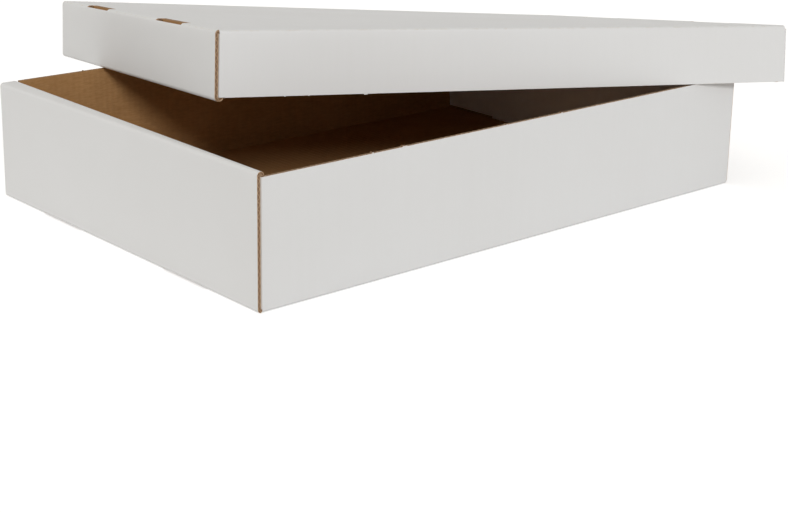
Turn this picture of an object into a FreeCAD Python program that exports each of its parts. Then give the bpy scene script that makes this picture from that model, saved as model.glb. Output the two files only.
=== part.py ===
import FreeCAD, Part
import math
import os
from FreeCAD import Placement, Rotation, Vector

# A two-piece carton of corrugated board: a shallow open tray, and a lid of the same make that lies
# askew on it. Each is one folded blank. Its two long walls are folded up once, and flaps folded from
# their ends stand behind the end walls. Each end wall is rolled over the flaps: up outside, across a
# crown, down inside, and it ends in two tabs that lock into slots at the crease of the panel.
# Millimetres. The origin is the centre of the tray's underside, +X along its length, +Z up.

doc = FreeCAD.newDocument("carton")
sheet = doc.addObject("Spreadsheet::Sheet", "sizes")

# The driving sizes. "front" is the side towards -Y, "back" is towards +Y, on both pieces.
SIZES = [
    ("board", 3.0, "thickness of the corrugated board"),
    ("layer_gap", 0.4, "air between two layers of the folded board, and inside a crease"),
    ("roll_gap", 0.2, "inner radius of the two creases of a crown"),
    ("tray_length", 600.0, "outside length of the tray"),
    ("tray_width", 412.0, "outside width of the tray"),
    ("tray_wall_height", 113.0, "height of the tray's long walls"),
    ("lid_end_clearance", 0.4, "air between the lid's inner end panel and the tray's end"),
    ("lid_side_clearance", 5.4, "air between the lid's long wall and the tray's"),
    ("lid_wall_height", 57.0, "depth of the lid's long walls"),
    ("lid_corner_drop", 17.0, "how far the twisted lid's back right corner hangs down"),
    ("flap_length", 150.0, "reach of a corner flap along the end wall"),
    ("knee_depth", 14.0, "depth below the wall's edge at which an inner end panel hangs straight"),
    ("flap_shortfall", 0.6, "how far a flap stays below that depth"),
    ("tray_panel_lift", 2.2, "gap between the tray's panel and an inner end panel"),
    ("lid_panel_lift", 1.0, "gap between the lid's panel and an inner end panel"),
    ("slot_length", 63.0, "length of a locking slot"),
    ("slot_offset", 100.0, "distance of a slot's middle from the middle of the end"),
    ("slot_lip", 1.6, "height to which a slot cuts into the end wall"),
    ("tab_play", 1.5, "air at each end of a locking tab"),
    ("tab_recess", 0.4, "depth of a tab's edge inside the outer face"),
    ("tray_left_front_width", 6.8, "width of the crown at that corner"),
    ("tray_left_front_rise", 4.2, "how far it stands over the long wall there"),
    ("tray_left_back_width", 18.5, "width of the crown at that corner"),
    ("tray_left_back_rise", 0.0, "how far it stands over the long wall there"),
    ("tray_right_front_width", 11.0, "width of the crown at that corner"),
    ("tray_right_front_rise", 3.6, "how far it stands over the long wall there"),
    ("tray_right_back_width", 20.0, "width of the crown at that corner"),
    ("tray_right_back_rise", 0.0, "how far it stands over the long wall there"),
    ("lid_left_front_width", 8.0, "width of the crown at that corner"),
    ("lid_left_front_rise", 3.2, "how far it stands over the long wall there"),
    ("lid_left_back_width", 12.0, "width of the crown at that corner"),
    ("lid_left_back_rise", 1.8, "how far it stands over the long wall there"),
    ("lid_right_front_width", 9.0, "width of the crown at that corner"),
    ("lid_right_front_rise", 3.6, "how far it stands over the long wall there"),
    ("lid_right_back_width", 11.0, "width of the crown at that corner"),
    ("lid_right_back_rise", 3.6, "how far it stands over the long wall there"),
    ("lid_turn", 13.0, "degrees that the lid is turned on the tray, clockwise from above"),
    ("front_crossing", 63.5, "where the lid's front wall crosses the tray's, from the right end"),
    ("back_crossing", 117.4, "where the lid's left end crosses the tray's back, from the left end"),
    ("seat_gap", 0.3, "air left where the lid rests on the tray"),
]
for row, (alias, value, meaning) in enumerate(SIZES, start=1):
    sheet.set("A%d" % row, alias)
    sheet.set("B%d" % row, str(value))
    sheet.set("C%d" % row, meaning)
    sheet.setAlias("B%d" % row, alias)
doc.recompute()


def size(alias):
    """The number in a cell of the sheet."""
    return float(getattr(sheet, alias))


# Lengths that both pieces work out from the board, once as an expression and once as a number.
BEND = "(sizes.board + sizes.layer_gap)"
LAYER = BEND
FOOT = "(3 * sizes.board + 2 * sizes.layer_gap)"
board = size("board")
gap = size("layer_gap")
bend = board + gap
roll_bend = board + size("roll_gap")
foot = 3 * board + 2 * gap

# The outside sizes of each piece, as expressions on the sheet. Both are built open side up, and the
# lid is turned over about its length afterwards, so its front is the side towards +Y until then.
TRAY = {
    "name": "tray",
    "faces": {-1: "front", 1: "back"},
    "length": "sizes.tray_length",
    "width": "sizes.tray_width",
    "height": "sizes.tray_wall_height",
    "lift": "sizes.tray_panel_lift",
    "twist": "0",
}
LID = {
    "name": "lid",
    "faces": {-1: "back", 1: "front"},
    "length": "(sizes.tray_length + 2 * (%s + sizes.lid_end_clearance))" % FOOT,
    "width": "(sizes.tray_width + 2 * (sizes.board + sizes.lid_side_clearance))",
    "height": "sizes.lid_wall_height",
    "lift": "sizes.lid_panel_lift",
}
# The lid's corner drop is the sine of its twist over the whole width.
LID["twist"] = "asin(sizes.lid_corner_drop / %(width)s)" % LID
tray_length = size("tray_length")
tray_width = size("tray_width")
tray_height = size("tray_wall_height")
lid_length = tray_length + 2 * (foot + size("lid_end_clearance"))
lid_width = tray_width + 2 * (board + size("lid_side_clearance"))
lid_height = size("lid_wall_height")
lid_twist = math.degrees(math.asin(size("lid_corner_drop") / lid_width))

# How far a cutting box reaches past what it cuts.
MARGIN = 2.0
CUT_MARGIN = str(MARGIN)
AXES = ("x", "y", "z")


def place(item, low):
    """Bind an object's position to three expressions."""
    for axis, expression in zip(AXES, low):
        item.setExpression("Placement.Base." + axis, expression)


def block(name, low, extent):
    """A box from its low corner and its size, each three expressions."""
    box = doc.addObject("Part::Box", name)
    for side, expression in zip(("Length", "Width", "Height"), extent):
        box.setExpression(side, expression)
    place(box, low)
    return box


def quarter(name, centre, length, turn):
    """A board folded once: a quarter ring about its crease, turned to its place."""
    outer = doc.addObject("Part::Cylinder", name + "_outside")
    inner = doc.addObject("Part::Cylinder", name + "_inside")
    outer.setExpression("Radius", BEND)
    inner.setExpression("Radius", "sizes.layer_gap")
    for cylinder in (outer, inner):
        cylinder.Angle = 90
        cylinder.setExpression("Height", length)
        cylinder.Placement.Rotation = turn
        place(cylinder, centre)
    ring = doc.addObject("Part::Cut", name)
    ring.Base = outer
    ring.Tool = inner
    return ring


def fuse(name, pieces):
    joined = doc.addObject("Part::MultiFuse", name)
    joined.Shapes = pieces
    joined.Refine = True
    return joined


def cut(name, base, tool):
    rest = doc.addObject("Part::Cut", name)
    rest.Base = base
    rest.Tool = tool
    return rest


# How a crease's quarter ring is turned: the two directions that its ends face.
ALONG_FRONT = Rotation(Vector(0, -1, 0), Vector(0, 0, -1), Vector(1, 0, 0), "XYZ")
ALONG_BACK = Rotation(Vector(0, 0, -1), Vector(0, 1, 0), Vector(1, 0, 0), "XYZ")
CORNER_TURN = {(-1, -1): 180, (1, -1): 270, (1, 1): 0, (-1, 1): 90}
SIDE_NAME = {-1: "left", 1: "right"}


def mirrored(sign, expression):
    """An expression for a distance out from the middle, on the side that sign gives."""
    return "(%s)" % expression if sign > 0 else "-(%s)" % expression


def twisted(item, sizes_of, side):
    """Turn what belongs to the right end about the bottom edge of the wall at +Y."""
    if side > 0:
        item.setExpression("Placement", (
            "create(<<placement>>; create(<<vector>>; 0; %(width)s / 2 * (1 - cos(%(twist)s));"
            " %(width)s / 2 * sin(%(twist)s));"
            " create(<<rotation>>; create(<<vector>>; 1; 0; 0); -(%(twist)s)))"
        ) % sizes_of)
    return item


def straight_reach(sizes_of):
    """How far the long walls run each way from the middle before their ends fold."""
    return "(%s / 2 - %s - %s)" % (sizes_of["length"], LAYER, BEND)


def flat_trough(sizes_of):
    """The panel with its two long walls, straight from end to end."""
    name = sizes_of["name"]
    straight = straight_reach(sizes_of)
    half_y = "%(width)s / 2" % sizes_of
    inside_y = "(%s - %s)" % (half_y, BEND)
    pieces = [block(
        name + "_panel",
        ("-" + straight, "-" + inside_y, "0"),
        ("2 * " + straight, "2 * " + inside_y, "sizes.board"),
    )]
    for face, turn in ((-1, ALONG_FRONT), (1, ALONG_BACK)):
        label = "%s_%s" % (name, sizes_of["faces"][face])
        low_y = "-(%s)" % half_y if face < 0 else "%s - sizes.board" % half_y
        pieces.append(block(
            label + "_wall",
            ("-" + straight, low_y, BEND),
            ("2 * " + straight, "sizes.board", "%(height)s - " % sizes_of + BEND),
        ))
        pieces.append(quarter(
            label + "_crease",
            ("-" + straight, mirrored(face, inside_y), BEND),
            "2 * " + straight,
            turn,
        ))
    return fuse(name + "_trough", pieces)


def trough_section(x, width, height):
    """The closed outline of panel and long walls in a plane X = x."""
    half_y = width / 2
    inside_y = half_y - bend

    def at(y, up):
        return Vector(x, y, up)

    def arc(face, radius, start_up):
        slant = radius * math.sqrt(0.5)
        return Part.Arc(
            at(face * (inside_y + radius), bend),
            at(face * (inside_y + slant), bend - slant),
            at(face * inside_y, start_up),
        ).toShape()

    edges = [
        Part.makeLine(at(-half_y, height), at(-half_y, bend)),
        arc(-1, bend, 0),
        Part.makeLine(at(-inside_y, 0), at(inside_y, 0)),
        arc(1, bend, 0),
        Part.makeLine(at(half_y, bend), at(half_y, height)),
        Part.makeLine(at(half_y, height), at(half_y - board, height)),
        Part.makeLine(at(half_y - board, height), at(half_y - board, bend)),
        arc(1, gap, board),
        Part.makeLine(at(inside_y, board), at(-inside_y, board)),
        arc(-1, gap, board),
        Part.makeLine(at(board - half_y, bend), at(board - half_y, height)),
        Part.makeLine(at(board - half_y, height), at(-half_y, height)),
    ]
    return Part.Wire(Part.__sortEdges__(edges))


def twisted_trough(name, length, width, height, twist):
    """Panel and long walls whose right end is turned about the bottom edge of the wall at +Y."""
    straight = length / 2 - 2 * bend
    left = trough_section(-straight, width, height)
    right = trough_section(straight, width, height)
    right.rotate(Vector(0, width / 2, 0), Vector(1, 0, 0), -twist)
    feature = doc.addObject("Part::Feature", name + "_trough")
    feature.Shape = Part.makeLoft([left, right], True, True)
    return feature


def end_pieces(sizes_of, side):
    """Beyond the trough at one end: the panel's last strip, the corner folds and their flaps."""
    name = "%s_%s" % (sizes_of["name"], SIDE_NAME[side])
    half_x = "%(length)s / 2" % sizes_of
    half_y = "%(width)s / 2" % sizes_of
    straight = straight_reach(sizes_of)
    inside_y = "(%s - %s)" % (half_y, BEND)
    flap_top = "(%(height)s - sizes.knee_depth - sizes.flap_shortfall)" % sizes_of
    low_x = "-(%s - %s)" % (half_x, BEND) if side < 0 else straight
    pieces = [block(
        name + "_strip",
        (low_x, "-" + inside_y, "0"),
        (LAYER, "2 * " + inside_y, "sizes.board"),
    )]
    for face in (-1, 1):
        corner = "%s_%s" % (name, sizes_of["faces"][face])
        pieces.append(quarter(
            corner + "_fold",
            (mirrored(side, straight), mirrored(face, inside_y), LAYER),
            "%(height)s - " % sizes_of + LAYER,
            Rotation(Vector(0, 0, 1), CORNER_TURN[(side, face)]),
        ))
        near_x = "%s - %s" % (half_x, LAYER)
        low_x = "-(%s)" % near_x if side < 0 else "%s - sizes.board" % near_x
        low_y = "-" + inside_y if face < 0 else "%s - (sizes.flap_length - %s)" % (inside_y, BEND)
        pieces.append(block(
            corner + "_flap",
            (low_x, low_y, LAYER),
            ("sizes.board", "sizes.flap_length - " + BEND, flap_top + " - " + LAYER),
        ))
    return twisted(fuse(name + "_pieces", pieces), sizes_of, side)


def shoulders(sizes_of, side):
    """What is cut from the walls' corners where the crown crosses them no higher than their edge."""
    name = sizes_of["name"]
    half_x = "%(length)s / 2" % sizes_of
    half_y = "%(width)s / 2" % sizes_of
    tools = []
    for face in (-1, 1):
        corner = "%s_%s_%s" % (name, SIDE_NAME[side], sizes_of["faces"][face])
        reach = "(sizes.%s_width + sizes.layer_gap)" % corner
        low_x = "-(%s)" % half_x if side < 0 else "%s - %s" % (half_x, reach)
        low_y = "-(%s + %s)" % (half_y, CUT_MARGIN) if face < 0 else "%s - 2 * %s" % (half_y, BEND)
        low_z = "%s + min(sizes.%s_rise - %s; sizes.layer_gap)" % (sizes_of["height"], corner, LAYER)
        tools.append(block(
            corner + "_shoulder",
            (low_x, low_y, low_z),
            (reach, "2 * %s + %s" % (BEND, CUT_MARGIN), "2 * " + BEND),
        ))
    return twisted(fuse("%s_%s_shoulders" % (name, SIDE_NAME[side]), tools), sizes_of, side)


def roll_section(width, rise, height, lift, half_x, y):
    """The closed outline of a rolled end wall at one place along it, as a wire in a plane Y = y."""
    top = height + rise
    shoulder = top - roll_bend
    knee_height = height - size("knee_depth")
    hem = board + lift
    lean = (width - foot) * (knee_height - hem) / (shoulder - hem)
    knee = foot + max(lean, 0.0)

    def at(inwards, up):
        return Vector(inwards - half_x, y, up)

    def arc(centre, radius, start, end):
        middle = (start + end) / 2
        points = []
        for angle in (start, middle, end):
            turn = math.radians(angle)
            points.append(at(centre[0] + radius * math.cos(turn), centre[1] + radius * math.sin(turn)))
        return Part.Arc(*points).toShape()

    def line(start, end):
        return Part.makeLine(at(*start), at(*end))

    crease = (bend, bend)
    outer_roll = (roll_bend, shoulder)
    inner_roll = (width - roll_bend, shoulder)
    inner_radius = roll_bend - board
    edges = [
        arc(crease, bend, 270, 180),
        line((0, bend), (0, shoulder)),
        arc(outer_roll, roll_bend, 180, 90),
        line((roll_bend, top), (width - roll_bend, top)),
        arc(inner_roll, roll_bend, 90, 0),
        line((width, shoulder), (knee, knee_height)),
        line((knee, knee_height), (foot, hem)),
        line((foot, hem), (foot - board, hem)),
        line((foot - board, hem), (knee - board, knee_height)),
        line((knee - board, knee_height), (width - board, shoulder)),
        arc(inner_roll, inner_radius, 0, 90),
        line((width - roll_bend, top - board), (roll_bend, top - board)),
        arc(outer_roll, inner_radius, 90, 180),
        line((board, shoulder), (board, bend)),
        arc(crease, gap, 180, 270),
        line((bend, board), (bend, 0)),
    ]
    return Part.Wire(edges)


def rolled_end(sizes_of, side, length, width, height, lift):
    """One rolled end wall: straight from its front section to its back one, notched at the walls."""
    half_x = length / 2
    half_y = width / 2
    label = "%s_%s" % (sizes_of["name"], SIDE_NAME[side])
    sections = []
    notches = []
    for face in (-1, 1):
        crown = size("%s_%s_width" % (label, sizes_of["faces"][face]))
        rise = size("%s_%s_rise" % (label, sizes_of["faces"][face]))
        sections.append(roll_section(crown, rise, height, lift, half_x, face * half_y))
        notch_top = height + min(rise - board, gap)
        notch_depth = bend + gap
        low_y = -half_y - MARGIN if face < 0 else half_y - notch_depth
        notches.append(Part.makeBox(
            2 * foot + crown,
            notch_depth + MARGIN,
            notch_top - bend,
            Vector(board + gap / 2 - half_x, low_y, bend),
        ))
    wall = Part.makeLoft(sections, True, True)
    wall = wall.cut(notches)
    if side > 0:
        wall = wall.mirror(Vector(0, 0, 0), Vector(1, 0, 0))
    feature = doc.addObject("Part::Feature", label + "_roll")
    feature.Shape = wall
    return twisted(feature, sizes_of, side)


def slots_and_tabs(sizes_of, side):
    """The slots cut at the crease of one end, and the tabs that fill them."""
    name = "%s_%s" % (sizes_of["name"], SIDE_NAME[side])
    half_x = "%(length)s / 2" % sizes_of
    hem = "(sizes.board + %(lift)s)" % sizes_of
    slots = []
    tabs = []
    for face in (-1, 1):
        label = "%s_%s" % (name, sizes_of["faces"][face])
        low_y = "%d * sizes.slot_offset - sizes.slot_length / 2" % face
        reach = "(%s + sizes.layer_gap - %s)" % (FOOT, BEND)
        low_x = "-(%s - %s)" % (half_x, BEND) if side < 0 else "%s - %s - %s" % (half_x, BEND, reach)
        slots.append(block(
            label + "_slot",
            (low_x, low_y, "-" + CUT_MARGIN),
            (reach, "sizes.slot_length", "%s + sizes.board + sizes.layer_gap / 2" % CUT_MARGIN),
        ))
        lip = "(%s + %s)" % (CUT_MARGIN, BEND)
        low_x = "-(%s + %s)" % (half_x, CUT_MARGIN) if side < 0 else "%s - %s" % (half_x, BEND)
        slots.append(block(
            label + "_slot_lip",
            (low_x, low_y, "-" + CUT_MARGIN),
            (lip, "sizes.slot_length", CUT_MARGIN + " + sizes.slot_lip"),
        ))
        low_x = "%s - %s" % (FOOT, half_x) if side < 0 else "%s - %s" % (half_x, FOOT)
        if side < 0:
            low_x += " - sizes.board"
        tabs.append(block(
            label + "_tab",
            (low_x, low_y + " + sizes.tab_play", "sizes.tab_recess"),
            ("sizes.board", "sizes.slot_length - 2 * sizes.tab_play", hem + " - sizes.tab_recess"),
        ))
    return (
        twisted(fuse(name + "_slots", slots), sizes_of, side),
        twisted(fuse(name + "_tabs", tabs), sizes_of, side),
    )


def folded_blank(sizes_of, trough, length, width, height, lift):
    """One whole piece, open side up: the trough with both its rolled ends, as one sheet."""
    name = sizes_of["name"]
    sheet_so_far = fuse(name + "_walls", [trough] + [end_pieces(sizes_of, side) for side in (-1, 1)])
    for side in (-1, 1):
        label = "%s_%s" % (name, SIDE_NAME[side])
        relieved = cut(label + "_relieved", sheet_so_far, shoulders(sizes_of, side))
        rolled = fuse(label + "_rolled", [
            relieved,
            rolled_end(sizes_of, side, length, width, height, lift),
        ])
        slots, tabs = slots_and_tabs(sizes_of, side)
        sheet_so_far = fuse(label + "_locked", [cut(label + "_slotted", rolled, slots), tabs])
    return sheet_so_far


# The tray stands as it was folded.
tray = folded_blank(TRAY, flat_trough(TRAY), tray_length, tray_width, tray_height, size("tray_panel_lift"))
tray.Label = "tray"

# The lid is the same kind of sheet, open side up until it is turned over. Held at three places, it
# is twisted by its weight: its right end is turned against its left, so that one corner hangs down
# and the panel becomes a saddle with straight edges.
lid = folded_blank(
    LID,
    twisted_trough("lid", lid_length, lid_width, lid_height, lid_twist),
    lid_length,
    lid_width,
    lid_height,
    size("lid_panel_lift"),
)
lid.Label = "lid"
doc.recompute()

# The lid settles on three places of the tray: its front wall's edge lies across the tray's front
# wall, its left crown across the tray's back wall, and its panel on the back end of the right crown.
# The loop tips the lid by the three gaps, then slides it to the two crossings, until both are right.
TURNED_OVER = Placement(Vector(0, 0, 0), Rotation(Vector(1, 0, 0), 180))
turn = math.radians(-size("lid_turn"))
LID_FRONT_EDGE = Vector(0, lid_width / 2, 0)
RIGHT_END_TURN = Placement(Vector(0, 0, 0), Rotation(Vector(1, 0, 0), -lid_twist), LID_FRONT_EDGE)


def lowest_crossing(lid_lines, tray_lines):
    """Where a lid edge passes lowest over a tray edge: the place, with its height over the edge."""
    lowest = None
    for start, end in lid_lines:
        for y in tray_lines:
            share = (y - start.y) / (end.y - start.y)
            crossing = start + (end - start) * share
            crossing.z -= tray_height
            if lowest is None or crossing.z < lowest.z:
                lowest = crossing
    return lowest


def contacts(pose):
    """The three places where the lid is held, each with its gap as the height."""
    over = pose.multiply(TURNED_OVER)
    half_x = lid_length / 2
    half_y = lid_width / 2
    straight = half_x - 2 * bend
    front_lines = []
    for y in (half_y, half_y - board):
        left_end = Vector(-straight, y, lid_height)
        right_end = RIGHT_END_TURN.multVec(Vector(straight, y, lid_height))
        front_lines.append([over.multVec(left_end), over.multVec(right_end)])
    crown_lines = []
    front_rise = lid_height + size("lid_left_front_rise")
    back_rise = lid_height + size("lid_left_back_rise")
    front_inner = size("lid_left_front_width") - roll_bend
    back_inner = size("lid_left_back_width") - roll_bend
    for front_reach, back_reach in ((roll_bend, roll_bend), (front_inner, back_inner)):
        crown_lines.append([
            over.multVec(Vector(front_reach - half_x, half_y, front_rise)),
            over.multVec(Vector(back_reach - half_x, -half_y, back_rise)),
        ])
    tray_edge = tray_width / 2
    places = [
        lowest_crossing(front_lines, (-tray_edge, board - tray_edge)),
        lowest_crossing(crown_lines, (tray_edge, tray_edge - board)),
    ]
    crown = size("tray_right_back_width")
    crown_top = tray_height + size("tray_right_back_rise")
    under = None
    for inwards in (roll_bend, crown - roll_bend):
        point = Vector(tray_length / 2 - inwards, tray_edge, crown_top)
        below = over.inverse().multVec(point)
        share = (below.x + straight) / (2 * straight)
        sink = share * math.tan(math.radians(lid_twist)) * (half_y - below.y)
        clear = below.z - board - sink
        if under is None or clear < under.z:
            under = Vector(point.x, point.y, clear)
    places.append(under)
    return places


pose = Placement(
    Vector((lid_length - tray_length) / 2, 0, tray_height + lid_height),
    Rotation(Vector(0, 0, 1), math.degrees(turn)),
)
SETTLING_STEPS = 40
for step in range(SETTLING_STEPS):
    points = contacts(pose)
    lifts = [Vector(point.x, point.y, size("seat_gap") - point.z) for point in points]
    normal = (lifts[1] - lifts[0]).cross(lifts[2] - lifts[0])
    if normal.z < 0:
        normal = normal * -1
    raised = lifts[0].z + (normal.x * lifts[0].x + normal.y * lifts[0].y) / normal.z
    tipping = Placement(Vector(0, 0, raised), Rotation(Vector(0, 0, 1), normal))
    pose = tipping.multiply(pose)
    front_place, back_place = contacts(pose)[:2]
    front_error = tray_length / 2 - size("front_crossing") - front_place.x
    back_error = size("back_crossing") - tray_length / 2 - back_place.x
    slide_y = -(front_error - back_error) * math.sin(turn) * math.cos(turn)
    slide_x = back_error - slide_y * math.tan(turn)
    pose = Placement(Vector(slide_x, slide_y, 0), Rotation()).multiply(pose)
lid.Placement = pose.multiply(TURNED_OVER)
doc.recompute()
print("lid panel's centre", pose.Base, "turned", pose.Rotation.toEuler())
print("gaps", [round(point.z, 3) for point in contacts(pose)])

# Every object has to be sound before anything is written.
for item in doc.Objects:
    if "Invalid" in item.State or "Error" in item.State:
        raise RuntimeError("%s failed: %s" % (item.Name, item.State))
os.makedirs("parts", exist_ok=True)
for node in (tray, lid):
    if node.Shape.isNull() or not node.Shape.isValid() or len(node.Shape.Solids) != 1:
        raise RuntimeError("%s isn't one sound solid" % node.Label)
    node.Shape.exportStep("parts/%s.step" % node.Label)
    print(node.Label, "volume", round(node.Shape.Volume), "box", node.Shape.BoundBox)
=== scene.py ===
# %% [markdown]
# A two-piece catering carton of corrugated board: an open tray, and its lid lying askew on it.
# Each piece is one flat blank, white outside and brown inside, that is cut, creased and folded.
# Walls could be modelled as solid blocks, but then every fold and raw edge would have to be added by
# hand. The lesson makes both pieces as they are really made: strips with no thickness are drawn
# along the folds, trimmed and merged to one sheet, and the sheet gets the board's thickness last.

# %% Load the frame
import math

import bmesh
import bpy
from mathutils import Euler, Matrix, Vector


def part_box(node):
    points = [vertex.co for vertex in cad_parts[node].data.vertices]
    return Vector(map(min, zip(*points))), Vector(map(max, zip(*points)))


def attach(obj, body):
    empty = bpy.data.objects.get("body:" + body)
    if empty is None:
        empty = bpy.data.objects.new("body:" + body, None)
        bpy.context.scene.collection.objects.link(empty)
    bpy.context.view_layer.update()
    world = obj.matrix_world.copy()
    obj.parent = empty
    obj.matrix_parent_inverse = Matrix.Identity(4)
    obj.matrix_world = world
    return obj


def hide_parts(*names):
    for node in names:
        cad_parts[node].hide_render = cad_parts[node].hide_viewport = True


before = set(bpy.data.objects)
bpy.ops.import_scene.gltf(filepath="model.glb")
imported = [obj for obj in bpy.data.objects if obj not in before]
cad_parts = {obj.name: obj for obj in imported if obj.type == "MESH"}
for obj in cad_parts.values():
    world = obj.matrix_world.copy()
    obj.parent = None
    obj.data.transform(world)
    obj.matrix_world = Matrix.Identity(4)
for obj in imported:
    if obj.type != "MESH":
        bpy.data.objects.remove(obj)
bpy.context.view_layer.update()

# %% [markdown]
# The camera stands low at the tray's near left corner and looks down a little. It could be aimed by
# hand, but its place and angles were found from the picture's edges, so they are written down. The
# object stands in the upper half of the picture, so the view is shifted down by a small share of its
# width. Turning the camera down instead would make the upright edges lean more.

# %% Camera
CAMERA_PLACE = Vector((-1.024, -1.182, 0.4673))
CAMERA_HEADING = math.radians(41.53)
CAMERA_DOWN = math.radians(15.94)
CAMERA_ROLL = math.radians(1.0)
LENS = 74.4
FILM_WIDTH = 36.0
VIEW_SHIFT = -0.110

camera_data = bpy.data.cameras.new("camera")
camera_data.lens = LENS
camera_data.sensor_width = FILM_WIDTH
camera_data.shift_y = VIEW_SHIFT
camera = bpy.data.objects.new("camera", camera_data)
bpy.context.scene.collection.objects.link(camera)
turn = Matrix.Rotation(-CAMERA_HEADING, 4, "Z") @ Matrix.Rotation(math.pi / 2 - CAMERA_DOWN, 4, "X")
camera.matrix_world = Matrix.Translation(CAMERA_PLACE) @ turn @ Matrix.Rotation(CAMERA_ROLL, 4, "Z")
bpy.context.scene.camera = camera
bpy.context.scene.view_settings.view_transform = "Standard"
print("camera at", tuple(CAMERA_PLACE), "lens", LENS)

# %% [markdown]
# Every finish is built from nodes. Sums of patterns could be linked node by node, but that takes many
# lines to say little. A small class wraps a socket instead, so that shader sums read like ordinary
# sums, whichever side of the sign the number stands on.


# %% Sockets that can be added and multiplied
class Value:
    """One output of a node, with the arithmetic that the finishes use."""

    def __init__(self, finish, socket):
        self.finish = finish
        self.socket = socket

    def combine(self, operation, *terms):
        return self.finish.node("ShaderNodeMath", {"operation": operation}, dict(enumerate(terms)))

    def __add__(self, other):
        return self.combine("ADD", self, other)

    __radd__ = __add__

    def __sub__(self, other):
        return self.combine("SUBTRACT", self, other)

    def __rsub__(self, other):
        return self.combine("SUBTRACT", other, self)

    def __mul__(self, other):
        return self.combine("MULTIPLY", self, other)

    __rmul__ = __mul__

    def __lt__(self, other):
        return self.combine("LESS_THAN", self, other)

    def __gt__(self, other):
        return self.combine("GREATER_THAN", self, other)

    def sine(self):
        return self.combine("SINE", self)

    def size(self):
        return self.combine("ABSOLUTE", self)

    def most(self, other):
        return self.combine("MAXIMUM", self, other)


print("a socket can be added, taken away, multiplied and compared")

# %% [markdown]
# A finish holds the nodes of one material, or of the world. One method makes every node: it takes
# the node's type, its settings and what its sockets get. The short methods after it name the few
# nodes that this carton's finishes use again and again.


# %% Finishes
class Finish:
    """The nodes of a material, or of the world."""

    def __init__(self, owner, surface="Principled BSDF", output="Material Output"):
        owner.use_nodes = True
        self.owner = owner
        self.tree = owner.node_tree
        self.surface = self.tree.nodes[surface]
        self.output = self.tree.nodes[output]

    def node(self, kind, settings=None, values=None, output=0):
        """Make a node, change its settings, fill its sockets, and wrap one of its outputs."""
        made = self.tree.nodes.new(kind)
        for key, setting in (settings or {}).items():
            if key == "stops":
                for element, (place, colour) in zip(made.color_ramp.elements, setting):
                    element.position = place
                    element.color = (*colour, 1)
            else:
                setattr(made, key, setting)
        for key, value in (values or {}).items():
            self.feed(made.inputs[key], value)
        return Value(self, made.outputs[output])

    def feed(self, socket, value):
        """Link a value to a socket, or set the socket to a number or colour."""
        if isinstance(value, Value):
            self.tree.links.new(value.socket, socket)
        elif socket.type == "RGBA":
            socket.default_value = (*value, 1)
        else:
            socket.default_value = value

    def set(self, **values):
        """Feed the surface shader's own sockets, with _ for a space in their names."""
        for key, value in values.items():
            self.feed(self.surface.inputs[key.replace("_", " ")], value)

    def attribute(self, name, output="Fac"):
        """What the mesh stores under a name."""
        return self.node("ShaderNodeAttribute", {"attribute_name": name}, None, output)

    def axis(self, place, letter):
        """One coordinate of a place."""
        return self.node("ShaderNodeSeparateXYZ", None, {"Vector": place}, letter)

    def noise(self, place, scale, detail=3.0, roughness=0.5):
        values = {"Vector": place, "Scale": scale, "Detail": detail, "Roughness": roughness}
        return self.node("ShaderNodeTexNoise", None, values)

    def streaks(self, place, stretch, detail=3.0, roughness=0.5):
        """A noise with a scale of its own along each axis."""
        stretched = self.node("ShaderNodeMapping", None, {"Vector": place, "Scale": stretch})
        return self.noise(stretched, 1.0, detail, roughness)

    def rise(self, value, low, high):
        """From 0 at low to 1 at high, and level beyond them."""
        return self.node("ShaderNodeMapRange", None, {"Value": value, "From Min": low, "From Max": high})

    def mix(self, share, first, second):
        return self.node("ShaderNodeMix", {"data_type": "RGBA"}, {0: share, 6: first, 7: second}, 2)

    def bump(self, height, distance, strength=1.0):
        values = {"Height": height, "Distance": distance, "Strength": strength}
        return self.node("ShaderNodeBump", None, values)

    def seen_plainly(self):
        """1 for a ray from the camera or off something glossy, and 0 for one that gathers light."""
        camera_ray = self.node("ShaderNodeLightPath", None, None, "Is Camera Ray")
        glossy_ray = self.node("ShaderNodeLightPath", None, None, "Is Glossy Ray")
        return camera_ray.most(glossy_ray)

    def show(self, shader):
        """Make a shader the one that is rendered."""
        self.tree.links.new(shader.socket, self.output.inputs["Surface"])


def fresh_finish(name):
    """A new material with its plain surface shader."""
    return Finish(bpy.data.materials.new(name))


print("a finish can make any node, and names", [name for name in vars(Finish) if name[0] != "_"])

# %% [markdown]
# The board's outside is a white, clay-coated liner with a faint washboard from the flutes beneath
# it. It could be one flat white, but then a wall looks like plastic: clouds and streaks vary the
# white a little, a fine bump roughens it, and folds and rims are rubbed. The patterns read an
# attribute with each point's place on the folded blank, so they stay put when the blank moves. The
# blank is in metres, so a scale of 6 gives clouds of about a sixth of a metre.

# %% White liner
FLUTE_PITCH = 0.0064
FLUTE_TURN = math.tau / FLUTE_PITCH
FLUTE_DRIFT = 5.0
DRIFT_SCALE = 9.0
WHITE = (0.802, 0.804, 0.806)
WHITE_SHADE = (0.780, 0.779, 0.777)
WHITE_WORN = (0.68, 0.61, 0.52)
WHITE_SHINE = 0.35
WHITE_ROUGHNESS = 0.46
WHITE_ROUGHNESS_SWING = 0.16
WHITE_RELIEF = 0.00003
CLOUD_SCALE = 6.0
STREAK_SCALES = (160.0, 9.0, 9.0)
SPECK_SCALE = 900.0
CLOUD_SHARE = 0.70
STREAK_SHARE = 0.18
SPECK_SHARE = 0.12
SHADE_RANGE = (0.30, 0.68)
RUB_SCALE = 130.0
RUB_RANGE = (0.30, 0.75)
SHEEN_SCALE = 60.0
GRAIN_SCALE = 420.0
GRAIN_SHARE = 0.3
WASHBOARD_SHARE = 0.5


def folded_place(finish):
    """The vector attribute with the place on the folded blank."""
    return finish.attribute("folded", "Vector")


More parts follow.
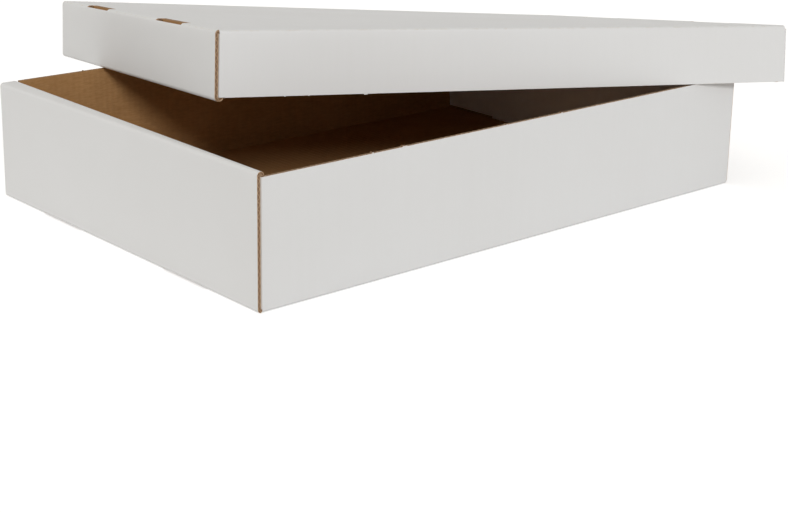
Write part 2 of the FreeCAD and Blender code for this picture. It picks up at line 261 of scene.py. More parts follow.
def washboard(finish, place):
    """A faint wave along the blank, one for each flute under the liner."""
    drift = finish.noise(place, DRIFT_SCALE, detail=1.0) * FLUTE_DRIFT
    return (finish.axis(place, "X") * FLUTE_TURN + drift).sine()


def white_liner():
    finish = fresh_finish("white_liner")
    place = folded_place(finish)
    cloud = finish.noise(place, CLOUD_SCALE, detail=2.0)
    streak = finish.streaks(place, STREAK_SCALES, detail=2.0)
    speck = finish.noise(place, SPECK_SCALE, detail=2.0)
    pattern = cloud * CLOUD_SHARE + streak * STREAK_SHARE + speck * SPECK_SHARE
    colour = finish.mix(finish.rise(pattern, *SHADE_RANGE), WHITE_SHADE, WHITE)
    patchy = finish.noise(place, RUB_SCALE, detail=4.0, roughness=0.7)
    rubbed = finish.rise(finish.attribute("worn") * patchy, *RUB_RANGE)
    grain = finish.noise(place, GRAIN_SCALE, detail=3.0)
    sheen = finish.noise(place, SHEEN_SCALE, detail=2.0)
    relief = washboard(finish, place) * WASHBOARD_SHARE + grain * GRAIN_SHARE
    finish.set(
        Base_Color=finish.mix(rubbed, colour, WHITE_WORN),
        Roughness=sheen * WHITE_ROUGHNESS_SWING + WHITE_ROUGHNESS,
        Normal=finish.bump(relief, WHITE_RELIEF),
        Specular_IOR_Level=WHITE_SHINE,
    )
    return finish.owner


BOARD_SIDES = [white_liner()]
print("made", BOARD_SIDES[-1].name)

# %% [markdown]
# The inside is unbleached kraft paper. Its fibres lie along the blank, so a noise is stretched that
# way, and a second one clouds it. A flat brown with one noise would look like painted wood. A ramp
# turns the sum of both into browns from dark to light, and a few dark flecks are mixed in. Kraft is
# rougher than the white side and hardly shines.

# %% Kraft liner
KRAFT_DARK = (0.375, 0.196, 0.074)
KRAFT_LIGHT = (0.525, 0.300, 0.128)
KRAFT_STOPS = [(0.36, KRAFT_DARK), (0.66, KRAFT_LIGHT)]
KRAFT_SHINE = 0.25
KRAFT_ROUGHNESS = 0.68
KRAFT_ROUGHNESS_SWING = 0.2
KRAFT_RELIEF = 0.00009
FIBRE_SCALES = (120.0, 620.0, 620.0)
FIBRE_SHARE = 0.5
KRAFT_CLOUD_SCALE = 11.0
KRAFT_CLOUD_SHARE = 0.5
FLUTE_SHADE = 0.012
FLECK_SCALES = (260.0, 900.0, 900.0)
FLECK_RANGE = (0.66, 0.74)
FLECK_STRENGTH = 0.45


def kraft_liner():
    finish = fresh_finish("kraft_liner")
    place = folded_place(finish)
    fibre = finish.streaks(place, FIBRE_SCALES, detail=4.0, roughness=0.65)
    cloud = finish.noise(place, KRAFT_CLOUD_SCALE, detail=4.0, roughness=0.6)
    wave = washboard(finish, place)
    tone = fibre * FIBRE_SHARE + cloud * KRAFT_CLOUD_SHARE + wave * FLUTE_SHADE
    colour = finish.node("ShaderNodeValToRGB", {"stops": KRAFT_STOPS}, {"Fac": tone})
    fleck = finish.rise(finish.streaks(place, FLECK_SCALES, detail=1.0), *FLECK_RANGE)
    finish.set(
        Base_Color=finish.mix(fleck * FLECK_STRENGTH, colour, KRAFT_DARK),
        Roughness=fibre * KRAFT_ROUGHNESS_SWING + KRAFT_ROUGHNESS,
        Normal=finish.bump(wave * WASHBOARD_SHARE + fibre, KRAFT_RELIEF),
        Specular_IOR_Level=KRAFT_SHINE,
    )
    return finish.owner


BOARD_SIDES.append(kraft_liner())
print("made", BOARD_SIDES[-1].name)

# %% [markdown]
# Where the blank was cut, its edge shows the wave of the fluted sheet between two liners. Modelling
# each flute would take thousands of faces for a line 3 mm wide, so the wave is drawn: a second
# attribute gives the depth through the board, from 0 on the white face to 1 on the brown one, and
# what lies near a sine of the place along the edge is paper. So is what lies within a liner's
# thickness of either face. The rest gets painted shade: a dark brown that stands for the shade inside
# the hollows between the flutes.

# %% Cut edge
FLUTE_SWING = 0.36
PAPER_SHARE = 0.10
LINER_SHARE = 0.13
RAGGED_SCALE = 700.0
RAGGED_SWING = 0.10
LINER_RAGGED = 0.4
FRAY_SCALE = 260.0
FRAY_SHARE = 0.3
EDGE_PAPER = (0.50, 0.330, 0.200)
EDGE_PALE = (0.62, 0.440, 0.290)
# painted shade: the dark brown that stands for the shade inside the hollows between the flutes
EDGE_HOLLOW_SHADE = (0.225, 0.138, 0.080)
EDGE_SHINE = 0.2
EDGE_ROUGHNESS = 0.8
EDGE_ROUGHNESS_SWING = 0.1
EDGE_RELIEF = 0.0008
EDGE_RELIEF_STRENGTH = 0.8


def cut_edge():
    finish = fresh_finish("cut_edge")
    place = folded_place(finish)
    depth = finish.attribute("depth")
    along = finish.axis(place, "X") + finish.axis(place, "Z")
    ragged = finish.noise(place, RAGGED_SCALE, detail=2.0) * RAGGED_SWING - RAGGED_SWING / 2
    wave = (along * FLUTE_TURN).sine() * FLUTE_SWING + 0.5
    in_flute = (depth - wave + ragged).size() < PAPER_SHARE
    in_liner = (depth - 0.5).size() + ragged * LINER_RAGGED > 0.5 - LINER_SHARE
    paper = in_flute.most(in_liner)
    fray = finish.noise(place, FRAY_SCALE, detail=3.0, roughness=0.7)
    # where there is no paper, the edge gets the painted shade of the hollows between the flutes
    finish.set(
        Base_Color=finish.mix(paper, EDGE_HOLLOW_SHADE, finish.mix(fray, EDGE_PAPER, EDGE_PALE)),
        Roughness=fray * EDGE_ROUGHNESS_SWING + EDGE_ROUGHNESS,
        Normal=finish.bump(paper + fray * FRAY_SHARE, EDGE_RELIEF, EDGE_RELIEF_STRENGTH),
        Specular_IOR_Level=EDGE_SHINE,
    )
    return finish.owner


BOARD_SIDES.append(cut_edge())
print("made", BOARD_SIDES[-1].name)

# %% [markdown]
# Both pieces are folded from board of one thickness, so they share the sizes of its folds. A fold
# lies round one layer of board. At its foot a rolled end is three layers deep: its outer panel, the
# flap behind that and its inner panel. A small class works out from a blank's length, width and
# height where its folds and layers are, so that no later step repeats those sums.

# %% Board and blanks
MM = 0.001
BOARD = 3.0 * MM
LAYER_GAP = 0.4 * MM
BEND = BOARD + LAYER_GAP
ROLL_SLACK = 0.2 * MM
ROLL_BEND = BOARD + ROLL_SLACK
FOOT = 3 * BOARD + 2 * LAYER_GAP
KNEE_DEPTH = 14.0 * MM
FLAP_LENGTH = 150.0 * MM
FLAP_SHORTFALL = 0.6 * MM
ENDS = (-1, 1)
FACES = (-1, 1)


class Blank:
    """One folded blank: its outer sizes, the places that follow from them, and its details."""

    def __init__(self, name, length, width, height, lift):
        self.name = name
        self.length = length
        self.width = width
        self.height = height
        self.half_x = length / 2
        self.half_y = width / 2
        self.straight = self.half_x - 2 * BEND          # where the long walls' corner folds begin
        self.inside = self.half_y - BEND                # where the panel's flat part ends
        self.inner = self.inside - LAYER_GAP            # where the rolls' inner panels end
        self.knee = height - KNEE_DEPTH                 # above it an inner panel leans to its crown
        self.flap_top = self.knee - FLAP_SHORTFALL
        self.hem = BOARD + lift                         # the lower edge of an inner panel
        self.crowns = {}
        self.set_back = {}
        self.bulges = {}
        self.nibs = []


print("a fold is", round(BEND / MM, 1), "mm deep, and a rolled end's foot", round(FOOT / MM, 1), "mm")

# %% [markdown]
# The tray's length and width come from the frame. Its lift is the gap under the hems of its rolled
# ends. A crown is the top of a rolled end wall. It is narrow and high at one corner and wide and
# flat at another, so the width and rise of each are listed by its end, -1 for the left, and its
# face. One size for all four corners would look too regular for folded board. The rolls stop a
# little behind the front wall, each by its own set-back, so that the gap beside their cut edge is
# seen at the left and little or none of the edge at the right. Nibs are the little bridges that held
# the blank in its sheet: the wall they stand on, where along it, how wide and how high.

# %% Sizes of the tray
tray_low, tray_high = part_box("tray")
TRAY = Blank(
    "tray_sheet", tray_high.x - tray_low.x, tray_high.y - tray_low.y, height=113.0 * MM, lift=2.2 * MM
)
TRAY.crowns = {
    (-1, -1): (6.8 * MM, 4.2 * MM),
    (-1, 1): (18.5 * MM, 0.0),
    (1, -1): (11.0 * MM, 3.6 * MM),
    (1, 1): (20.0 * MM, 0.0),
}
TRAY.set_back = {(-1, -1): 1.5 * MM, (1, -1): 2.2 * MM}
TRAY.nibs = [
    (-1, -0.1829, 1.3 * MM, 0.8 * MM),
    (-1, -0.1478, 5.0 * MM, 0.5 * MM),
    (-1, -0.0275, 1.2 * MM, 0.5 * MM),
    (-1, 0.0432, 1.2 * MM, 0.7 * MM),
    (1, -0.2100, 1.2 * MM, 0.6 * MM),
    (1, 0.0950, 1.4 * MM, 0.7 * MM),
]
print("tray", [round(side, 4) for side in (TRAY.length, TRAY.width, TRAY.height)])

# %% [markdown]
# The lid slips over the tray, so it is larger by a play at its ends and at its sides. It is folded
# with its panel down, as the tray is, and turned over later, so its front wall is the one at face 1.
# Its front right corner stands open: the fold bulges past the end of its roll.

# %% Sizes of the lid
LID_PLAY_ENDS = 0.4 * MM
LID_PLAY_SIDES = 5.4 * MM
LID_BULGE = 5.0 * MM

lid_length = TRAY.length + 2 * (FOOT + LID_PLAY_ENDS)
lid_width = TRAY.width + 2 * (BOARD + LID_PLAY_SIDES)
LID = Blank("lid_sheet", lid_length, lid_width, height=57.0 * MM, lift=1.0 * MM)
LID.crowns = {
    (-1, 1): (8.0 * MM, 3.2 * MM),
    (-1, -1): (12.0 * MM, 1.8 * MM),
    (1, 1): (9.0 * MM, 1.0 * MM),
    (1, -1): (11.0 * MM, 3.6 * MM),
}
LID.set_back = {(-1, 1): 1.8 * MM, (1, 1): BEND + LID_BULGE + LAYER_GAP}
LID.bulges = {(1, 1): LID_BULGE}
LID.nibs = [
    (1, -0.2464, 1.2 * MM, 0.6 * MM),
    (1, -0.2237, 1.2 * MM, 0.4 * MM),
    (1, -0.1686, 3.4 * MM, 0.8 * MM),
    (-1, -0.1400, 1.3 * MM, 0.6 * MM),
    (-1, 0.1700, 1.3 * MM, 0.6 * MM),
]
BLANKS = (TRAY, LID)
print("lid", [round(side, 4) for side in (LID.length, LID.width, LID.height)])

# %% [markdown]
# An operator acts on all that is selected, and loading leaves the frame's own nodes selected. So each
# step first picks its piece alone. Inside a piece, vertices, edges or faces are chosen by a test of
# their place, which does what a click on them does by hand and goes on working when a size changes.


# %% Picking and choosing
def deselect_all():
    for item in bpy.context.selected_objects:
        item.select_set(False)


def pick(piece):
    """Select one piece alone."""
    deselect_all()
    piece.select_set(True)
    bpy.context.view_layer.objects.active = piece


def edit(piece):
    pick(piece)
    bpy.ops.object.mode_set(mode="EDIT")


def leave():
    bpy.ops.object.mode_set(mode="OBJECT")


def choose(piece, kind, test):
    """Select only the vertices, edges or faces that pass the test, and count them."""
    bpy.context.tool_settings.mesh_select_mode = (kind == "VERT", kind == "EDGE", kind == "FACE")
    bpy.ops.mesh.select_all(action="DESELECT")
    mesh = bmesh.from_edit_mesh(piece.data)
    group = {"VERT": mesh.verts, "EDGE": mesh.edges, "FACE": mesh.faces}[kind]
    chosen = [part for part in group if test(part)]
    for part in chosen:
        part.select_set(True)
    mesh.select_flush_mode()
    bmesh.update_edit_mesh(piece.data)
    return len(chosen)


print("selected by loading:", len(bpy.context.selected_objects))
deselect_all()
print("selected now:", len(bpy.context.selected_objects))

# %% [markdown]
# A folded strip is drawn as by hand: a small plane is set on its first two lines, and its last edge
# is extruded from line to line. Each line is given by its two ends, so that a strip can widen or
# lean from one end to the other, which a bevel of a sharp fold could not do.


# %% Strips
def carry(piece, index, place):
    """Move one vertex to its place."""
    mesh = bmesh.from_edit_mesh(piece.data)
    mesh.verts.ensure_lookup_table()
    now = mesh.verts[index].co.copy()
    choose(piece, "VERT", lambda vertex: vertex.index == index)
    bpy.ops.transform.translate(value=Vector(place) - now)


def strip(name, lines, outward):
    """A strip without thickness through pairs of points, with its white face towards outward."""
    deselect_all()
    bpy.ops.mesh.primitive_plane_add(size=2 * MM)
    piece = bpy.context.object
    piece.name = name
    edit(piece)
    corners = [lines[0][0], lines[0][1], lines[1][0], lines[1][1]]
    for index, place in enumerate(corners):
        carry(piece, index, place)
    last = [2, 3]
    for start, end in lines[2:]:
        choose(piece, "VERT", lambda vertex: vertex.index in last)
        count = len(bmesh.from_edit_mesh(piece.data).verts)
        bpy.ops.mesh.extrude_edges_move()
        mesh = bmesh.from_edit_mesh(piece.data)
        mesh.verts.ensure_lookup_table()
        first_end = mesh.verts[last[0]].co.copy()
        fresh = sorted(range(count, count + 2), key=lambda i: (mesh.verts[i].co - first_end).length)
        carry(piece, fresh[0], start)
        carry(piece, fresh[1], end)
        last = fresh
    mesh = bmesh.from_edit_mesh(piece.data)
    mesh.normal_update()
    mesh.faces.ensure_lookup_table()
    if mesh.faces[0].normal.dot(Vector(outward)) < 0:
        bpy.ops.mesh.select_all(action="SELECT")
        bpy.ops.mesh.flip_normals()
    leave()
    return piece


def join(name, pieces):
    deselect_all()
    for piece in pieces:
        piece.select_set(True)
    bpy.context.view_layer.objects.active = pieces[0]
    bpy.ops.object.join()
    whole = bpy.context.object
    whole.name = name
    return whole


def arc(centre, radius, start, end, steps=4):
    """Points of an arc in the plane of a section, angles in degrees."""
    points = []
    for step in range(steps + 1):
        angle = math.radians(start + (end - start) * step / steps)
        points.append((centre[0] + radius * math.cos(angle), centre[1] + radius * math.sin(angle)))
    return points


print("a fold is drawn through", len(arc((0, 0), BEND, 0, 90)), "lines")

# %% [markdown]
# The trough is the panel with its two long walls, one strip across the blank. Beyond it the panel
# goes on for the width of one crease, where the rolled ends begin, and the walls fold round the
# corners into flaps that are hidden behind the end walls. The long wall and its flap are one piece of
# board, so the corner gets a sharp fold of its own rather than two walls that only touch.


# %% Trough, corner folds and flaps
def trough(blank):
    section = [(-blank.half_y, blank.height)]
    section += arc((-blank.inside, BEND), BEND, 180, 270)
    section += arc((blank.inside, BEND), BEND, 270, 360)
    section += [(blank.half_y, blank.height)]
    lines = [((-blank.straight, y, z), (blank.straight, y, z)) for y, z in section]
    return strip("trough", lines, (0, -1, 0))


def panel_strip(blank, side):
    """The panel's last bit, as wide as one crease."""
    reaches = (side * blank.straight, side * (blank.straight + BEND))
    lines = [((x, -blank.inside, 0), (x, blank.inside, 0)) for x in reaches]
    return strip("panel_strip", lines, (0, 0, -1))


def corner_plan(blank, side, face):
    """A corner fold seen from above, from the long wall to its flap."""
    turn_x = blank.straight + BEND
    start = [(blank.straight, blank.half_y)]
    bulge = blank.bulges.get((side, face))
    if bulge:
        return start + arc((turn_x, blank.inside), BEND, 90, 0) + [(turn_x, blank.inside - bulge)]
    return start + [(turn_x, blank.half_y), (turn_x, blank.inside)]


def corner_flap(blank, side, face):
    plan = corner_plan(blank, side, face)
    lines = []
    for x, y in plan:
        lines.append(((side * x, face * y, BEND), (side * x, face * y, blank.height)))
    fold = strip("corner_fold", lines, (0, face, 0))
    near_x = side * plan[-1][0]
    tip = blank.half_y - FLAP_LENGTH
    lines = [((near_x, face * y, BEND), (near_x, face * y, blank.flap_top)) for y in (plan[-1][1], tip)]
    return [fold, strip("corner_flap", lines, (side, 0, 0))]


def heel(blank, side, face):
    """The long wall's bottom bend, carried on into a corner."""
    near_x = side * blank.straight
    far_x = side * (blank.straight + BEND)
    section = arc((blank.inside, BEND), BEND, 0, -90)
    lines = [((near_x, face * y, z), (far_x, face * y, z)) for y, z in section]
    return strip("heel", lines, (0, face, 0))


def wall_strips(blank):
    strips = [trough(blank)]
    strips += [panel_strip(blank, side) for side in ENDS]
    for side in ENDS:
        for face in FACES:
            strips += corner_flap(blank, side, face)
            strips.append(heel(blank, side, face))
    return strips


walls = [join("walls", wall_strips(blank)) for blank in BLANKS]
print("faces in the walls:", [len(piece.data.polygons) for piece in walls])

# %% [markdown]
# A rolled end goes up outside, over a crown and down inside to the panel, where it stops at a hem.
# Its section is known at the front and at the back, and every line of the strip runs from one to the
# other. One section swept along the end would need the crown to be the same at both corners.


# %% Rolled ends
def roll_section(blank, crown):
    """A rolled end's section: how far in from the end, and how high."""
    width, rise = crown
    shoulder = blank.height + rise - ROLL_BEND
    lean = (width - FOOT) * (blank.knee - blank.hem) / (shoulder - blank.hem)
    points = arc((BEND, BEND), BEND, 270, 180)
    points += arc((ROLL_BEND, shoulder), ROLL_BEND, 180, 90)
    points += arc((width - ROLL_BEND, shoulder), ROLL_BEND, 90, 0)
    points += [(FOOT + max(lean, 0.0), blank.knee), (FOOT, blank.hem)]
    return points


def rolled_end(blank, side):
    front_y, back_y = (face * (blank.half_y - blank.set_back.get((side, face), 0.0)) for face in FACES)
    front, back = (roll_section(blank, blank.crowns[(side, face)]) for face in FACES)
    lines = []
    for (front_in, front_up), (back_in, back_up) in zip(front, back):
        lines.append((
            (side * (blank.half_x - front_in), front_y, front_up),
            (side * (blank.half_x - back_in), back_y, back_up),
        ))
    return strip("rolled_end", lines, (0, 0, -1))


rolls = [[rolled_end(blank, side) for side in ENDS] for blank in BLANKS]
print("faces in the rolled ends:", [[len(piece.data.polygons) for piece in pair] for pair in rolls])

# %% [markdown]
# What was drawn is now trimmed with bisect and delete, as a die trims the blank. The long walls are
# relieved where a low crown crosses them, and the rolls' inner panels stop short of the long walls.
# A boolean could cut the same notches, but a line cut right across keeps the mesh in clean strips.


# %% Trimming
def bisect_at(axis, places):
    """Cut the piece that is being edited across, at each place along one axis."""
    number = "xyz".index(axis)
    normal = [0, 0, 0]
    normal[number] = 1
    for place in places:
        spot = [0, 0, 0]
        spot[number] = place
        bpy.ops.mesh.select_all(action="SELECT")
        bpy.ops.mesh.bisect(plane_co=spot, plane_no=normal)


def remove_faces(piece, test):
    """Delete the faces whose middles pass the test."""
    count = choose(piece, "FACE", lambda face: test(face.calc_center_median()))
    if count:
        bpy.ops.mesh.delete(type="FACE")
    return count


def relieve_walls(blank, piece):
    edit(piece)
    removed = 0
    for (side, face), (width, rise) in blank.crowns.items():
        near_x = blank.half_x - width - LAYER_GAP
        low = blank.height + min(rise - BEND, LAYER_GAP)
        if low >= blank.height or blank.set_back.get((side, face), 0.0) > BEND:
            continue
        bisect_at("x", [side * near_x])
        bisect_at("z", [low])
        removed += remove_faces(piece, lambda place: (
            place.z > low and side * place.x > near_x and face * place.y > 0
        ))
    leave()
    return removed


def notch_roll(blank, roll, side):
    edit(roll)
    bisect_at("y", [-blank.inner, blank.inner])
    removed = 0
    for face in FACES:
        rise = blank.crowns[(side, face)][1]
        top = blank.height + min(rise - BOARD, LAYER_GAP)
        bisect_at("z", [top])
        removed += remove_faces(roll, lambda place: (
            BEND < place.z < top and face * place.y > blank.inner
            and side * place.x < blank.half_x - BEND
        ))
    leave()
    return removed


for blank, piece, pair in zip(BLANKS, walls, rolls):
    relieved = relieve_walls(blank, piece)
    notched = [notch_roll(blank, roll, side) for roll, side in zip(pair, ENDS)]
    print(blank.name, "faces trimmed from the walls", relieved, "and from the rolls", notched)

# %% [markdown]
# The strips of each piece become one sheet. A long face would stay flat when the lid is twisted, and
# wear is stored at a face's corners only, so more lines are cut across the sheet in a loose grid. A
# subdivision would do that too, but with many more faces where none are needed.

# %% One sheet
GRID = 30.0 * MM
LEVELS = (0.2, 0.4, 0.6, 0.8)


def evenly(reach):
    """Places about one grid step apart, on both sides of the middle."""
    count = math.ceil(2 * reach / GRID)
    return [2 * reach * number / count - reach for number in range(1, count)]


def one_sheet(blank, piece, pair):
    sheet = join(blank.name, [piece] + pair)
    edit(sheet)
    bisect_at("x", evenly(blank.straight))
    bisect_at("y", [-blank.inside, -blank.inner, blank.inner, blank.inside] + evenly(blank.inside))
    bisect_at("z", [blank.flap_top] + [blank.height * level for level in LEVELS])
    leave()
    return sheet


sheets = [one_sheet(blank, piece, pair) for blank, piece, pair in zip(BLANKS, walls, rolls)]
tray_sheet, lid_sheet = sheets
print("faces in the sheets:", [len(sheet.data.polygons) for sheet in sheets])

# %% [markdown]
# Two tabs on each inner panel lock it in two slots at the fold. The slots show outside as short brown
# gaps, so they are cut through, and each tab is drawn down from the hem into its slot. After that the
# points that two strips share are merged, because the thickness needs one unbroken sheet.

# %% Slots and tabs
SLOT_LENGTH = 63.0 * MM
SLOT_OFFSET = 100.0 * MM
SLOT_LIP = 1.6 * MM
TAB_PLAY = 1.5 * MM
TAB_RECESS = 0.4 * MM
SLIVER = 0.02 * MM


def cut_slots(blank, sheet):
    near_x = blank.half_x - FOOT - LAYER_GAP
    half_slot = SLOT_LENGTH / 2
    half_tab = half_slot - TAB_PLAY
    stations = []
    for middle in (-SLOT_OFFSET, SLOT_OFFSET):
        for way in (-1, 1):
            stations += [middle + way * half_slot, middle + way * half_tab]
    edit(sheet)
    bisect_at("y", stations)
    bisect_at("x", [-near_x, near_x])
    bisect_at("z", [SLOT_LIP])
    removed = remove_faces(sheet, lambda place: (
        place.z < SLOT_LIP and abs(place.x) > near_x and abs(abs(place.y) - SLOT_OFFSET) < half_slot
    ))
    hem_edges = choose(sheet, "EDGE", lambda rim: all(
        abs(end.co.z - blank.hem) < SLIVER
        and abs(abs(end.co.x) - blank.half_x + FOOT) < SLIVER
        and abs(abs(end.co.y) - SLOT_OFFSET) < half_tab + SLIVER
        for end in rim.verts
    ))
    down = (0, 0, TAB_RECESS - blank.hem)
    bpy.ops.mesh.extrude_edges_move(TRANSFORM_OT_translate={"value": down})
    leave()
    return removed, hem_edges


def merge_points(sheet):
    edit(sheet)
    bpy.ops.mesh.select_all(action="SELECT")
    bpy.ops.mesh.remove_doubles(threshold=SLIVER)
    leave()


for blank, sheet in zip(BLANKS, sheets):
    removed, hem_edges = cut_slots(blank, sheet)
    merge_points(sheet)
    print(blank.name, "faces cut from the slots", removed, "and edges drawn down as tabs", hem_edges)

# %% [markdown]
# The nibs are what is left of the bridges that held the blank in its sheet. Separate little blocks
# would show a seam, so they are drawn up out of the rims, and get the board's thickness with them.


# %% Nibs
def raise_nibs(blank, sheet):
    edit(sheet)
    raised = 0
    for face, x, width, height in blank.nibs:
        bisect_at("x", [x - width / 2, x + width / 2])
        raised += choose(sheet, "EDGE", lambda rim: all(
            abs(end.co.z - blank.height) < SLIVER
            and abs(end.co.y - face * blank.half_y) < SLIVER
            and abs(end.co.x - x) < width / 2 + SLIVER
            for end in rim.verts
        ))
        bpy.ops.mesh.extrude_edges_move(TRANSFORM_OT_translate={"value": (0, 0, height)})
    leave()
    return raised


print("edges drawn up as nibs:", [raise_nibs(blank, sheet) for blank, sheet in zip(BLANKS, sheets)])

# %% [markdown]
# Each point now keeps its place on the folded blank and a measure of how much it is rubbed, which is
# most on folds and rims. Object coordinates would do for a still piece, but the lid is twisted and
# laid down later, and its patterns have to go with it. So both are stored before anything bends.

# %% Place and wear
WEAR_WIDTH = 4.0 * MM
RIM_SPARED = 1.0 * MM


def wear_of(blank, place):
    """How much a point lies on a fold or a wall's rim, from 0 to 1."""
    past_end = blank.half_x - abs(place.x)
    past_side = blank.half_y - abs(place.y)
    from_fold = max(place.z, min(past_end, past_side))
    from_rim = abs(blank.height - place.z) + max(past_side, 0.0) + RIM_SPARED
    return max(0.0, 1.0 - min(from_rim, from_fold) / WEAR_WIDTH)


def store_places(blank, sheet):
    mesh = sheet.data
    mesh.attributes.new("folded", "FLOAT_VECTOR", "POINT")
    mesh.attributes.new("worn", "FLOAT", "POINT")
    for vertex in mesh.vertices:
        mesh.attributes["folded"].data[vertex.index].vector = vertex.co
        mesh.attributes["worn"].data[vertex.index].value = wear_of(blank, vertex.co)
    return len(mesh.vertices)


print("points that keep their places:", [store_places(blank, sheet) for blank, sheet in zip(BLANKS, sheets)])

# %% [markdown]
# An open lid is easily twisted, and this one rests on three places only. Its points could be moved
# one by one with a formula, but a small lattice round the sheet does it as a hand would: the right
# end is turned about the fold between the panel and the front wall, the left end stays, and
# everything between follows in straight lines.

# %% Twist the lid
LID_CORNER_DROP = 17.0 * MM

lid_top = LID.height + 2 * BEND
lid_turn = math.asin(LID_CORNER_DROP / LID.width)
deselect_all()
bpy.ops.object.add(type="LATTICE", location=(0, 0, lid_top / 2))
lattice = bpy.context.object
lattice.scale = (2 * LID.straight, 2 * LID.half_y, lid_top)
lattice.data.points_u = lattice.data.points_v = lattice.data.points_w = 2
for direction in "uvw":
    setattr(lattice.data, "interpolation_type_" + direction, "KEY_LINEAR")
bpy.context.view_layer.update()
hinge = Matrix.Translation((0, LID.half_y, 0)) @ Matrix.Rotation(-lid_turn, 4, "X")
hinge = hinge @ Matrix.Translation((0, -LID.half_y, 0))
for point in lattice.data.points:
    corner = lattice.matrix_world @ point.co
    if corner.x > 0:
        point.co_deform = lattice.matrix_world.inverted() @ hinge @ corner
pick(lid_sheet)
modifier = lid_sheet.modifiers.new("twist", "LATTICE")
modifier.object = lattice
bpy.ops.object.modifier_apply(modifier=modifier.name)
bpy.data.objects.remove(lattice)
print("turned the right end by", round(math.degrees(lid_turn), 3), "degrees")

# %% [markdown]
# Now the board gets its thickness. The inner face could be drawn as the outer one was, but every
# fold would need a second radius. Solidify grows the sheet inwards, gives the brown side and the cut
# edge their own materials, and puts the new inner face in a vertex group, which becomes the depth
# that the finish of the cut edge reads.

# %% Thickness
SMOOTH_BELOW = math.radians(32)


def give_thickness(sheet):
    inner = sheet.vertex_groups.new(name="inner")
    modifier = sheet.modifiers.new("board", "SOLIDIFY")
    modifier.thickness = BOARD
    modifier.offset = -1
    modifier.use_even_offset = True
    modifier.use_quality_normals = True
    modifier.material_offset = 1
    modifier.material_offset_rim = 2
    modifier.shell_vertex_group = inner.name
    for material in BOARD_SIDES:
        sheet.data.materials.append(material)
    pick(sheet)
    bpy.ops.object.modifier_apply(modifier=modifier.name)
    mesh = sheet.data
    mesh.attributes.new("depth", "FLOAT", "POINT")
    for vertex in mesh.vertices:
        deep = any(link.weight > 0.5 for link in vertex.groups)
        mesh.attributes["depth"].data[vertex.index].value = 1.0 if deep else 0.0
    bpy.ops.object.shade_smooth_by_angle(angle=SMOOTH_BELOW)
    print(sheet.name, "vertices", len(mesh.vertices), "box", [round(v, 4) for v in sheet.dimensions])


for sheet in sheets:
    give_thickness(sheet)

# %% [markdown]
# The tray stands as it was folded. The lid is turned over about its length and laid on three places
# of the tray, where it tips towards its right end and its back. Its place and angles are those of
# the frame's own lid, so that both lids lie in one place, and they are applied to its mesh.

# %% Lay the lid on the tray
LID_CENTRE = Vector((95.8357, 51.3851, 161.0636)) * MM
LID_HEADING = math.radians(-13.30222)
LID_PITCH = math.radians(3.942567)
LID_LEAN = math.radians(-6.075947)

turned_over = Matrix.Rotation(math.pi, 4, "X")
laid = Euler((LID_LEAN, LID_PITCH, LID_HEADING), "XYZ").to_matrix().to_4x4()
pick(lid_sheet)
lid_sheet.matrix_world = Matrix.Translation(LID_CENTRE) @ laid @ turned_over
bpy.ops.object.transform_apply(location=True, rotation=True, scale=True)

for sheet, node, slot in ((tray_sheet, "tray", "tray_board"), (lid_sheet, "lid", "lid_board")):
    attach(sheet, "root")
    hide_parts(node)
    low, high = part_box(node)
    box = [sheet.matrix_world @ Vector(corner) for corner in sheet.bound_box]
    print(node, "frame", [round(v, 4) for v in (*low, *high)])
    print(node, "sheet", [round(min(c[i] for c in box), 4) for i in range(3)],
          [round(max(c[i] for c in box), 4) for i in range(3)])

# %% [markdown]
# The stage is a plain white floor, wide enough to fill every view. Brighter lamps would make it
# white too, but they would bleach the carton. Instead a little white is added to it for the camera,
# so that it reads as white paper, and it still takes the carton's soft shadow.

# %% Floor
FLOOR_WHITE = (0.90, 0.90, 0.90)
FLOOR_ROUGHNESS = 0.9
FLOOR_GLOW = 0.46
FLOOR_SIDE = 60.0
FLOOR_DROP = 0.2 * MM
PURE_WHITE = (1.0, 1.0, 1.0)


def white_floor():
    finish = fresh_finish("white_floor")
    finish.set(Base_Color=FLOOR_WHITE, Roughness=FLOOR_ROUGHNESS)
    glow_values = {"Color": PURE_WHITE, "Strength": finish.seen_plainly() * FLOOR_GLOW}
    glow = finish.node("ShaderNodeEmission", None, glow_values)
    paper = Value(finish, finish.surface.outputs[0])
    finish.show(finish.node("ShaderNodeAddShader", None, {0: paper, 1: glow}))
    return finish.owner


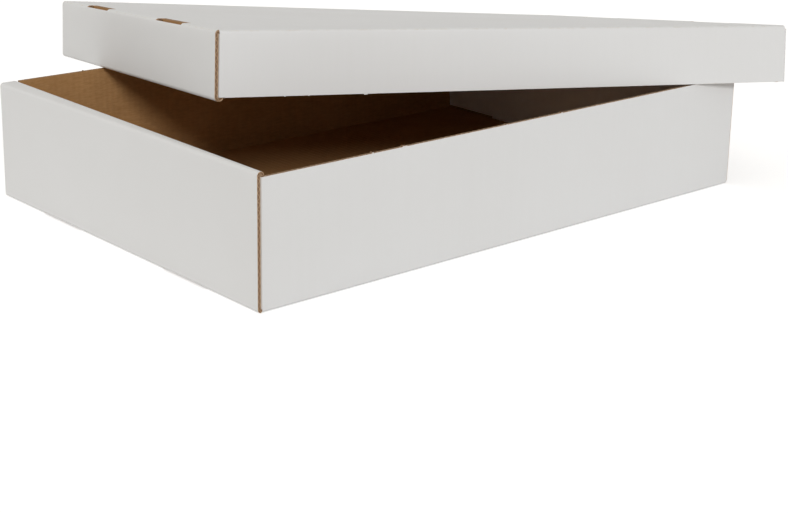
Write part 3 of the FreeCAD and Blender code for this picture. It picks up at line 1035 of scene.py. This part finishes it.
deselect_all()
bpy.ops.mesh.primitive_plane_add(size=FLOOR_SIDE, location=(0, 0, -FLOOR_DROP))
floor = bpy.context.object
floor.name = "floor"
floor.data.materials.append(white_floor())
print("floor", [round(side, 1) for side in floor.dimensions])

# %% [markdown]
# A large soft lamp shines from the front left, over the tray's walls, and draws the lid's slanting
# shadow on the brown back wall. Its direction was found from that shadow. A wide, weaker and warmer
# lamp brightens the left ends. Area lamps would fall off along the carton, so both are far lamps.

# %% Lamps
KEY_TOWARDS = (-207, -300, 189)
KEY_STRENGTH = 1.34
KEY_SOFTNESS = math.radians(12)
FILL_TOWARDS = (-150, 260, 300)
FILL_STRENGTH = 0.42
FILL_SOFTNESS = math.radians(110)
FILL_WARMTH = (1.0, 0.94, 0.83)


def lamp(name, towards, strength, softness, colour):
    """A far lamp in the direction towards, which looks as wide as the angle softness."""
    data = bpy.data.lights.new(name, "SUN")
    data.energy = strength
    data.angle = softness
    data.color = colour
    made = bpy.data.objects.new(name, data)
    made.rotation_euler = Vector(towards).to_track_quat("Z", "Y").to_euler()
    bpy.context.scene.collection.objects.link(made)
    return made


lamps = [
    lamp("key", KEY_TOWARDS, KEY_STRENGTH, KEY_SOFTNESS, PURE_WHITE),
    lamp("fill", FILL_TOWARDS, FILL_STRENGTH, FILL_SOFTNESS, FILL_WARMTH),
]
print("lamps", [made.name for made in lamps])

# %% [markdown]
# An even, slightly warm sky fills the shades. The picture's background is pure white, which this
# light is too weak to show, so a camera or glossy ray that leaves the floor sees plain white instead.

# %% Sky
SKY_COLOUR = (1.0, 0.98, 0.94)
SKY_STRENGTH = 0.38

world = bpy.data.worlds.new("world")
bpy.context.scene.world = world
sky = Finish(world, "Background", "World Output")
sky.set(Color=SKY_COLOUR, Strength=SKY_STRENGTH)
sky_light = Value(sky, sky.surface.outputs[0])
plain_white = sky.node("ShaderNodeBackground", None, {"Color": PURE_WHITE, "Strength": 1.0})
shaders = {0: sky.seen_plainly(), 1: sky_light, 2: plain_white}
sky.show(sky.node("ShaderNodeMixShader", None, shaders))
print("sky strength", SKY_STRENGTH)
